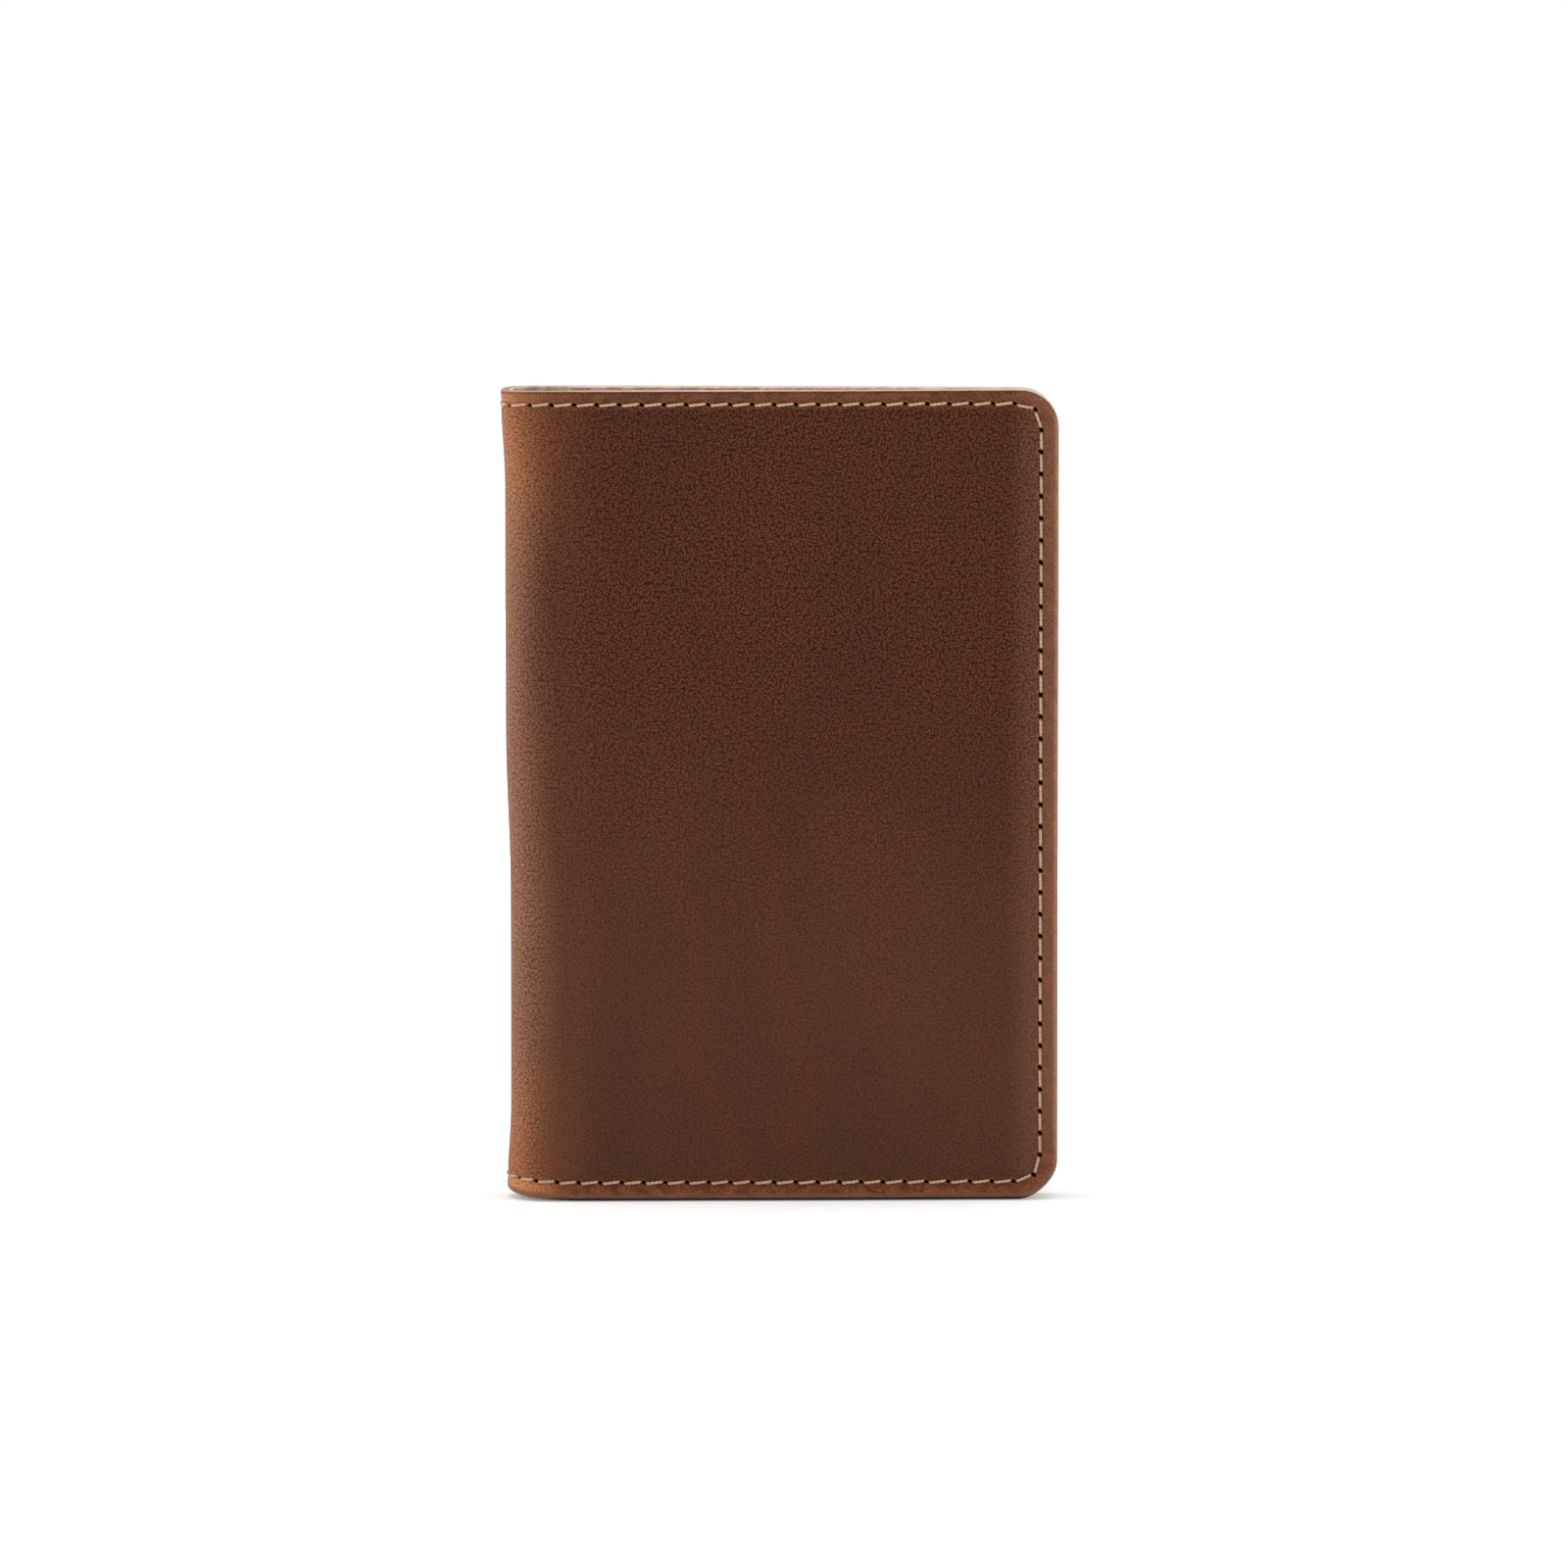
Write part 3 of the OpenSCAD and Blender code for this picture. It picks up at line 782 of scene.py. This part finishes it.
def thread_pieces(material):
    threads = {k: Thread() for k in ("back", "front", 0, 1, 2)}
    plain = lambda a, z: np.zeros(np.shape(a))
    pairs = []
    for sign in SIDES.values():
        for (p, n), (q, m) in zip(EDGE_LINE, EDGE_LINE[1:]):
            mean = (n[0] + m[0]) / 2, (n[1] + m[1]) / 2
            rise = 0.15 * abs(mean[1]) + 0.03
            pairs.append(((sign * p[0], p[1]), (sign * q[0], q[1]), (sign * mean[0], mean[1]), rise))
    for z, n in ((HEIGHT - TOP_IN, 1.0), (LOW_IN, -1.0)):
        a = EDGE_LINE[0][0][0]
        pairs.append(((a, z), (-a, z), (0.0, n), 0.0))
    for i, (p, q, n, rise) in enumerate(pairs):
        add_stitch(threads, stitch_path(p, q, n, rise, plain, -1, 0.7), i * 0.37)
        add_stitch(threads, stitch_path(p, q, n, -rise, inside_face, 1, 0.45), i * 0.29)
    for side in SIDES:
        obj = threads[side].mesh(f"edge_stitches_{side}", material)
        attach(obj, f"{side}_half")
        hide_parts(f"edge_thread_{side}")
    for k in range(len(HINGES)):
        obj = threads[k].mesh(f"fold_stitches_{k + 1}", material)
        bend(obj, k, HIDE_T / 2)
        if k < len(HINGES) - 1:
            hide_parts(f"fold_thread_{k + 1}")
    for side, sign in SIDES.items():
        seam, cross = Thread(), Thread()
        for i, (p, q) in enumerate(zip(SIDE_HOLES, SIDE_HOLES[1:])):
            path = stitch_path(p, q, (0, 0), 0, inside_face, 1, 0.45)
            seam.tube(path * (sign, 1, 1), i * 0.31, True, True)
        z = LEG_Z + STITCH_IN
        holes = np.arange(LEG_U[0] + STITCH_IN, LEG_U[1] - STITCH_IN + 0.1, PITCH)
        for i, (a, b) in enumerate(zip(holes, holes[1:])):
            path = stitch_path((a, z), (b, z), (0, 0), 0, inside_face, 1, 0.3) * (sign, 1, 1)
            cross.tube(path - (0, 0, LOWER_T + LIFT + 0.24), i * 0.31, True, True)
        for thread, kind in ((seam, "side"), (cross, "cross")):
            obj = thread.mesh(f"{kind}_stitches_{side}", material)
            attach(obj, f"{side}_half")
            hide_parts(f"{kind}_thread_{side}")


# ---- materials ----


class Shader:
    """A node material. Its coordinates are the developed ones, in mm: u, z and depth."""

    def __init__(self, name):
        self.mat = bpy.data.materials.new(name)
        self.mat.use_nodes = True
        self.tree = self.mat.node_tree
        self.bsdf = self.tree.nodes["Principled BSDF"]
        self.dev = self.attribute("dev", "Vector")

    def new(self, kind, out, inputs, **props):
        node = self.tree.nodes.new(kind)
        for key, value in props.items():
            setattr(node, key, value)
        for key, value in inputs.items():
            if isinstance(value, bpy.types.NodeSocket):
                self.tree.links.new(value, node.inputs[key])
            elif value is not None:
                node.inputs[key].default_value = value
        return node.outputs[out]

    def attribute(self, name, out="Fac"):
        return self.new("ShaderNodeAttribute", out, {}, attribute_name=name)

    def math(self, op, a, b=None, clamp=False):
        return self.new("ShaderNodeMath", 0, {0: a, 1: b}, operation=op, use_clamp=clamp)

    def span(self, value, lo, hi, out_lo=0.0, out_hi=1.0):
        """Eases from out_lo to out_hi as the value goes from lo to hi."""
        return self.new("ShaderNodeMapRange", 0, {0: value, 1: lo, 2: hi, 3: out_lo, 4: out_hi},
                        interpolation_type="SMOOTHSTEP")

    def mix(self, fac, a, b):
        a, b = (k if isinstance(k, bpy.types.NodeSocket) else (*k, 1) for k in (a, b))
        return self.new("ShaderNodeMix", 2, {0: fac, 6: a, 7: b}, data_type="RGBA")

    def stretched(self, scale):
        return self.new("ShaderNodeMapping", 0, {0: self.dev, 3: scale})

    def noise(self, scale, detail=2.0, rough=0.5, distortion=0.0, vector=None):
        inputs = {"Vector": vector or self.dev, "Scale": scale, "Detail": detail, "Roughness": rough}
        return self.new("ShaderNodeTexNoise", 0, {**inputs, "Distortion": distortion})

    def cells(self, scale, vector=None):
        return self.new("ShaderNodeTexVoronoi", "Distance", {"Vector": vector or self.dev, "Scale": scale,
                                                             "Randomness": 0.85}, voronoi_dimensions="2D")

    def vein(self, u, z, start, slope, sway, width):
        """1 along a thin line that starts at u = start where z is 0, and 0 beyond its width."""
        middle = self.new("ShaderNodeMath", 0, {0: z, 1: -slope, 2: start}, operation="MULTIPLY_ADD")
        off = self.math("ABSOLUTE", self.math("ADD", self.math("SUBTRACT", u, middle), sway))
        return self.span(off, width, 0.0)

    def bump(self, height, strength=1.0):
        return self.new("ShaderNodeBump", 0, {"Strength": strength, "Distance": MM, "Height": height})

    def finish(self, colour, normal, roughness, **sockets):
        self.tree.links.new(colour, self.bsdf.inputs["Base Color"])
        self.tree.links.new(normal, self.bsdf.inputs["Normal"])
        if isinstance(roughness, bpy.types.NodeSocket):
            self.tree.links.new(roughness, self.bsdf.inputs["Roughness"])
        else:
            self.bsdf.inputs["Roughness"].default_value = roughness
        for key, value in sockets.items():
            self.bsdf.inputs[key.replace("_", " ")].default_value = value
        return self.mat


    def fibres(self):
        """The fibres of a cut edge, which run along it."""
        return self.noise(1.0, 4, 0.6, 0.2, self.stretched((0.5, 0.5, 7.0)))

    def near_top(self, z):
        return self.span(z, HEIGHT - 4.6, HEIGHT - 2.4)


def linear(red, green, blue):
    """A display colour from 0 to 255 as a linear one."""
    parts = (c / 255 for c in (red, green, blue))
    return tuple(c / 12.92 if c < 0.04045 else ((c + 0.055) / 1.055) ** 2.4 for c in parts)


def hide_material():
    k = Shader("pull_up_hide")
    split = k.new("ShaderNodeSeparateXYZ", 0, {0: k.dev}).node
    u, z = k.math("ABSOLUTE", split.outputs[0]), split.outputs[1]
    rim, slit = k.attribute("rim"), k.attribute("slit")

    # grain: small light bumps in a net of dark creases
    warp = k.new("ShaderNodeTexNoise", "Color", {"Vector": k.dev, "Scale": 1.3, "Detail": 2.0})
    moved = k.new("ShaderNodeVectorMath", 0, {0: warp, 1: (0.5, 0.5, 0.5)}, operation="SUBTRACT")
    moved = {0: moved, 1: (0.5, 0.5, 0.5), 2: k.dev}
    moved = k.new("ShaderNodeVectorMath", 0, moved, operation="MULTIPLY_ADD")
    fine = k.noise(3.9, 3, 0.6)
    bumps = k.math("ADD", k.cells(2.65, moved), k.span(fine, 0.25, 0.75, -0.3, 0.3))
    crease = k.span(bumps, -0.1, 0.72)
    low, side = k.span(z, 8.0, 4.0), k.span(u, EDGE_U - 7.0, EDGE_U - 3.0)
    calm = k.math("MAXIMUM", k.span(z, 20, 80, 0.65, 1.0), k.span(u, 14, 5))
    calm = k.math("MULTIPLY", calm, k.math("MAXIMUM", k.span(rim, 1.4, 2.8, 0.6, 1.0), low))

    # colour: a dark face with thin reddish veins and soft clouds, warmer in its upper half and greyer and
    # paler in its lower half, a painted reflection of the white floor
    slow = k.noise(0.05, 2, 0.5, 0.4, k.stretched((1, 0.5, 1)))
    clouds = k.noise(0.16, 3, 0.55, 0.3)
    upper = k.span(z, 15, 85)
    sway = k.span(k.noise(0.09, 2, 0.5), 0.3, 0.7, -2.5, 2.5)
    first = k.math("MULTIPLY", k.vein(u, z, 34.0, 0.18, sway, 3.8), 0.6)
    second = k.math("MULTIPLY", k.vein(u, z, 44.5, 0.15, sway, 3.4), k.span(z, 95, 60, 0.1, 0.4))
    blots = k.math("MULTIPLY", k.span(clouds, 0.5, 0.72), k.span(z, 35, 75, 0.15, 0.75))
    red = k.math("MULTIPLY", k.math("MAXIMUM", k.math("MAXIMUM", first, second), blots), 0.45)
    ridge = k.mix(upper, linear(99, 63, 49), linear(104, 64, 48))
    dark = k.mix(upper, linear(60, 31, 21), linear(52, 21, 10))
    ridge = k.mix(k.span(slow, 0.4, 0.65, 0.0, 0.5), ridge, linear(88, 56, 44))
    ridge = k.mix(red, ridge, linear(122, 62, 34))
    dark = k.mix(red, dark, linear(66, 22, 8))

    # lighter and more orange where the hide bends, near the edges and round the holes; by the fold and on
    # the strip along the free edge this is partly the hide's own pull-up colour and partly painted light
    # falling on the fold's curve and on the edge
    far = k.math("ADD", u, k.span(slow, 0.3, 0.7, -0.8, 0.8))
    ends = k.span(k.math("ABSOLUTE", k.math("SUBTRACT", z, HEIGHT / 2)), 28.0, 52.0)
    bend_and_light_wide = k.span(far, 19.0, 6.0, 0.0, 0.65)
    bend_and_light_near = k.math("MULTIPLY", k.span(far, 10.5, 1.5), k.span(ends, 0.0, 1.0, 0.8, 1.0))
    tail = k.math("MULTIPLY", k.span(u, 16.0, 7.0), k.math("MULTIPLY", ends, 0.5))
    blotch = k.span(k.noise(0.55, 3, 0.6), 0.38, 0.62, 0.25, 1.0)
    edge = k.math("MULTIPLY", k.span(rim, 3.0, 1.8), k.span(low, 0.0, 1.0, 0.36, 1.0))
    edge = k.math("MULTIPLY", edge, blotch)
    # painted sheen: the right rim lighter, as the white surround would reflect there at a grazing angle
    rim_sheen = k.math("MULTIPLY", k.math("MULTIPLY", k.span(rim, 0.9, 0.2), side), k.span(z, 88, 45, 0.35, 0.8))
    rim_sheen = k.math("MULTIPLY", rim_sheen, k.span(z, 2, 14, 0.3, 1.0))
    halo = k.math("MULTIPLY", k.span(slit, 3.4, 1.2), k.span(fine, 0.3, 0.7, 0.3, 0.8))
    verge = k.span(u, EDGE_U - 7.5, EDGE_U - 2.6, 0.0, 0.8)
    foot = k.math("MULTIPLY", k.span(u, 12, 5, 0.0, 0.8), k.span(z, 3.4, 2.0))
    above = k.span(z, 5, 15)
    warm = k.math("MULTIPLY", k.math("MAXIMUM", edge, halo), k.span(u, 3, 12, 0.35, 1.0))
    # verge: lighter towards the free edge, partly the hide's pull-up and partly painted light
    ridge = k.mix(verge, ridge, linear(130, 84, 66))
    dark = k.mix(verge, dark, linear(82, 49, 37))
    # from here to the foot: the fold's pull-up lightening, partly painted light from the left on the fold's
    # curve
    ridge = k.mix(bend_and_light_wide, ridge, linear(115, 71, 53))
    dark = k.mix(bend_and_light_wide, dark, linear(74, 40, 26))
    ridge = k.mix(tail, ridge, linear(140, 84, 54))
    dark = k.mix(tail, dark, linear(100, 54, 32))
    ridge = k.mix(bend_and_light_near, ridge, k.mix(ends, linear(176, 128, 100), linear(188, 126, 88)))
    dark = k.mix(bend_and_light_near, dark, k.mix(ends, linear(114, 72, 52), linear(126, 74, 46)))
    ridge = k.mix(warm, ridge, k.mix(above, linear(160, 92, 57), linear(170, 108, 76)))
    dark = k.mix(warm, dark, k.mix(above, linear(90, 47, 31), linear(102, 60, 44)))
    ridge = k.mix(foot, ridge, linear(222, 150, 104))
    dark = k.mix(foot, dark, linear(176, 112, 74))
    # painted sheen on the right rim
    ridge = k.mix(rim_sheen, ridge, linear(174, 128, 104))
    dark = k.mix(rim_sheen, dark, linear(120, 80, 63))
    grain = k.mix(k.math("MULTIPLY", crease, calm), ridge, dark)
    # stitch slits painted near-black: painted shade inside the holes
    grain = k.mix(k.span(slit, 1.16, 0.95), grain, linear(22, 12, 9))

    # burnished roll at the free edge and the bottom, raw cut edge at the top
    fibre = k.fibres()
    raw = k.mix(k.span(fibre, 0.35, 0.65), linear(166, 128, 108), linear(220, 184, 162))
    raw = k.mix(k.span(u, 22, 6, 0.0, 0.6), raw, linear(166, 128, 108))
    burnt = k.mix(k.span(z, 2.0, 8.0), linear(120, 92, 79), linear(158, 120, 101))
    burnt = k.mix(k.span(fibre, 0.35, 0.7, 0.0, 0.6), burnt, linear(92, 66, 54))
    high = k.near_top(z)
    below = k.span(high, 1.0, 0.0)
    width = k.span(z, 6.0, 2.0, 0.0, 0.62)
    rolled = k.math("MULTIPLY", k.span(k.math("SUBTRACT", rim, width), 0.75, 0.1), below)
    colour = k.mix(k.math("MULTIPLY", rolled, 0.85), grain, burnt)
    # painted shade: a thin dark line along the top arris, between the face and the pale cut edge
    arris_shadow = k.math("MULTIPLY", k.math("MULTIPLY", k.span(rim, 0.5, 0.2), high), 0.4)
    colour = k.mix(arris_shadow, colour, linear(58, 36, 29))
    wall = k.span(rim, 0.09, 0.0)
    colour = k.mix(k.math("MULTIPLY", wall, high), colour, raw)
    colour = k.mix(k.math("MULTIPLY", wall, below), colour, burnt)
    # painted contact shadow: the lowest 0.6 mm of the hide darkened where it meets the floor
    contact_shadow = k.math("MULTIPLY", k.span(z, 0.6, 0.3, 0.0, 0.95), k.span(u, 7, 12))
    colour = k.mix(contact_shadow, colour, linear(30, 20, 15))

    worn = k.math("MAXIMUM", wall, k.math("MULTIPLY", rolled, 0.8))
    height = k.math("MULTIPLY", crease, k.span(worn, 0.0, 1.0, -0.06, -0.01))
    height = k.math("ADD", height, k.math("MULTIPLY", k.noise(0.8, 3, 0.5), 0.05))
    height = k.math("ADD", height, k.math("MULTIPLY", k.math("MULTIPLY", fibre, wall), 0.06))
    return k.finish(colour, k.bump(height), k.span(clouds, 0.3, 0.7, 0.5, 0.6), Specular_IOR_Level=0.1,
                    Specular_Tint=(1.0, 0.7, 0.5, 1.0))


def panel_material(name, light, dark, scale, depth, edge):
    """Smooth thin leather: fine grain, soft clouds and burnished edges."""
    k = Shader(name)
    rim, slit = k.attribute("rim"), k.attribute("slit")
    fine = k.noise(4.2, 3, 0.6)
    bumps = k.math("ADD", k.cells(scale), k.span(fine, 0.25, 0.75, -0.3, 0.3))
    crease = k.span(bumps, 0.0, 0.75)
    clouds = k.noise(0.05, 3, 0.5, 0.3)
    base = k.mix(k.span(clouds, 0.3, 0.7), dark, light)
    colour = k.mix(k.math("MULTIPLY", crease, 0.62), base, tuple(c * 0.35 for c in dark))
    worn = k.math("MULTIPLY", k.span(rim, 3.2, 0.6), k.span(clouds, 0.3, 0.6, 0.15, 0.4))
    halo = k.math("MULTIPLY", k.span(slit, 3.2, 1.2), 0.35)
    colour = k.mix(k.math("MAXIMUM", worn, halo), colour, edge)
    # stitch slits painted near-black: painted shade inside the holes
    colour = k.mix(k.span(slit, 1.1, 0.9), colour, linear(24, 14, 10))
    fibre = k.fibres()
    z = k.new("ShaderNodeSeparateXYZ", 1, {0: k.dev})
    high = k.near_top(z)
    # pale wall along the cut edges; on the top it reaches 1.3 mm into the inner face, the raw edge's own
    # colour brightened as painted light where the gap between the halves is in shade
    wall = k.math("MAXIMUM", k.span(rim, 0.25, 0.0), k.math("MULTIPLY", k.span(rim, 1.3, 1.0), high))
    brown = k.mix(k.span(fibre, 0.35, 0.65), edge, tuple(c * 0.6 for c in edge))
    raw = k.mix(k.span(fibre, 0.35, 0.65), linear(206, 168, 146), linear(246, 216, 196))
    colour = k.mix(wall, colour, k.mix(high, brown, raw))
    height = k.math("MULTIPLY", crease, -depth)
    height = k.math("ADD", height, k.math("MULTIPLY", k.noise(0.7, 3, 0.5), 0.06))
    return k.finish(colour, k.bump(height), k.span(clouds, 0.3, 0.7, 0.5, 0.6), Specular_IOR_Level=0.2)


def thread_material():
    k = Shader("waxed_thread")
    fibre = k.noise(1.0, 3, 0.6, 0.0, k.stretched((2.5, 9.0, 1.0)))
    slow = k.noise(0.35, 2, 0.5)
    colour = k.mix(k.span(fibre, 0.3, 0.7), linear(158, 122, 96), linear(216, 182, 154))
    colour = k.mix(k.span(slow, 0.4, 0.65, 0.0, 0.35), colour, linear(176, 138, 106))
    return k.finish(colour, k.bump(k.math("MULTIPLY", fibre, 0.03)), 0.62, Specular_IOR_Level=0.35)


def floor_material():
    k = Shader("paper_sweep")
    place_of = k.new("ShaderNodeTexCoord", "Object", {})
    away = k.new("ShaderNodeVectorMath", "Value", {0: place_of}, operation="LENGTH")
    grain = k.mix(k.noise(40.0, 2, 0.5, vector=place_of), (0.88, 0.88, 0.88), (0.92, 0.92, 0.92))
    # painted light: the floor glows, dim near the holder and full white farther out, though it is no lamp
    glow = k.mix(k.span(away, 0.05, 0.3), (0.22, 0.22, 0.22), (1.0, 1.0, 1.0))
    k.tree.links.new(glow, k.bsdf.inputs["Emission Color"])
    return k.finish(grain, k.bump(k.noise(200.0, vector=place_of), 0.02), 0.6, Emission_Strength=1.0)


HIDE = hide_material()
LINING = panel_material("lining_leather", linear(96, 62, 48), linear(74, 45, 35), 2.6, 0.03,
                        linear(150, 110, 88))
POCKET = panel_material("pocket_leather", linear(112, 68, 50), linear(88, 52, 39), 2.1, 0.05,
                        linear(166, 118, 92))
THREAD = thread_material()
cover_pieces(HIDE, LINING)
fold_pieces(HIDE, LINING)
pocket_pieces(POCKET)
thread_pieces(THREAD)

# ---- floor, light and camera ----

scene = bpy.context.scene
scene.view_settings.view_transform = "Standard"


def studio_world(ambient):
    """White behind the object, and a dimmer room round it."""
    world = bpy.data.worlds.new("studio")
    scene.world = world
    world.use_nodes = True
    tree = world.node_tree
    back, room = tree.nodes["Background"], tree.nodes.new("ShaderNodeBackground")
    back.inputs[0].default_value = (1, 1, 1, 1)
    room.inputs[0].default_value = (1, 1, 1, 1)
    room.inputs[1].default_value = ambient
    ray, mix = tree.nodes.new("ShaderNodeLightPath"), tree.nodes.new("ShaderNodeMixShader")
    tree.links.new(ray.outputs["Is Camera Ray"], mix.inputs[0])
    tree.links.new(room.outputs[0], mix.inputs[1])
    tree.links.new(back.outputs[0], mix.inputs[2])
    tree.links.new(mix.outputs[0], tree.nodes["World Output"].inputs[0])


def soft_light(name, place_at, size, power, target=(0, 0, 0.055)):
    data = bpy.data.lights.new(name, "AREA")
    data.shape = "RECTANGLE"
    data.size, data.size_y = size
    data.energy = power
    light = bpy.data.objects.new(name, data)
    light.location = place_at
    light.rotation_euler = (Vector(target) - Vector(place_at)).to_track_quat("-Z", "Y").to_euler()
    scene.collection.objects.link(light)


studio_world(0.3)
soft_light("top_light", (0, -0.1, 1.0), (1.0, 1.0), 7.0)
soft_light("left_light", (-0.8, -0.05, 0.35), (0.5, 0.9), 5.0)
soft_light("right_light", (0.8, 0.0, 0.35), (0.5, 0.9), 4.0)


def pale_floor(radius=0.8, sides=64):
    mesh = bpy.data.meshes.new("floor")
    turns = np.linspace(0, 2 * math.pi, sides + 1)[:-1]
    ring = [(radius * math.cos(t), radius * math.sin(t), 0) for t in turns]
    mesh.from_pydata(ring, [], [tuple(range(sides))])
    mesh.materials.append(floor_material())
    floor = bpy.data.objects.new("floor", mesh)
    scene.collection.objects.link(floor)


def front_camera(aim, elevation, distance, lens):
    data = bpy.data.cameras.new("camera")
    data.sensor_width = 36
    data.lens = lens
    data.clip_end = 20
    camera = bpy.data.objects.new("camera", data)
    camera.location = Vector(aim) + distance * Vector((0, -math.cos(elevation), math.sin(elevation)))
    camera.rotation_euler = (math.pi / 2 - elevation, 0, 0)
    scene.collection.objects.link(camera)
    scene.camera = camera


pale_floor()
front_camera((0.0003, 0, 0.0566), math.radians(6.5), 1.8, 304.1)
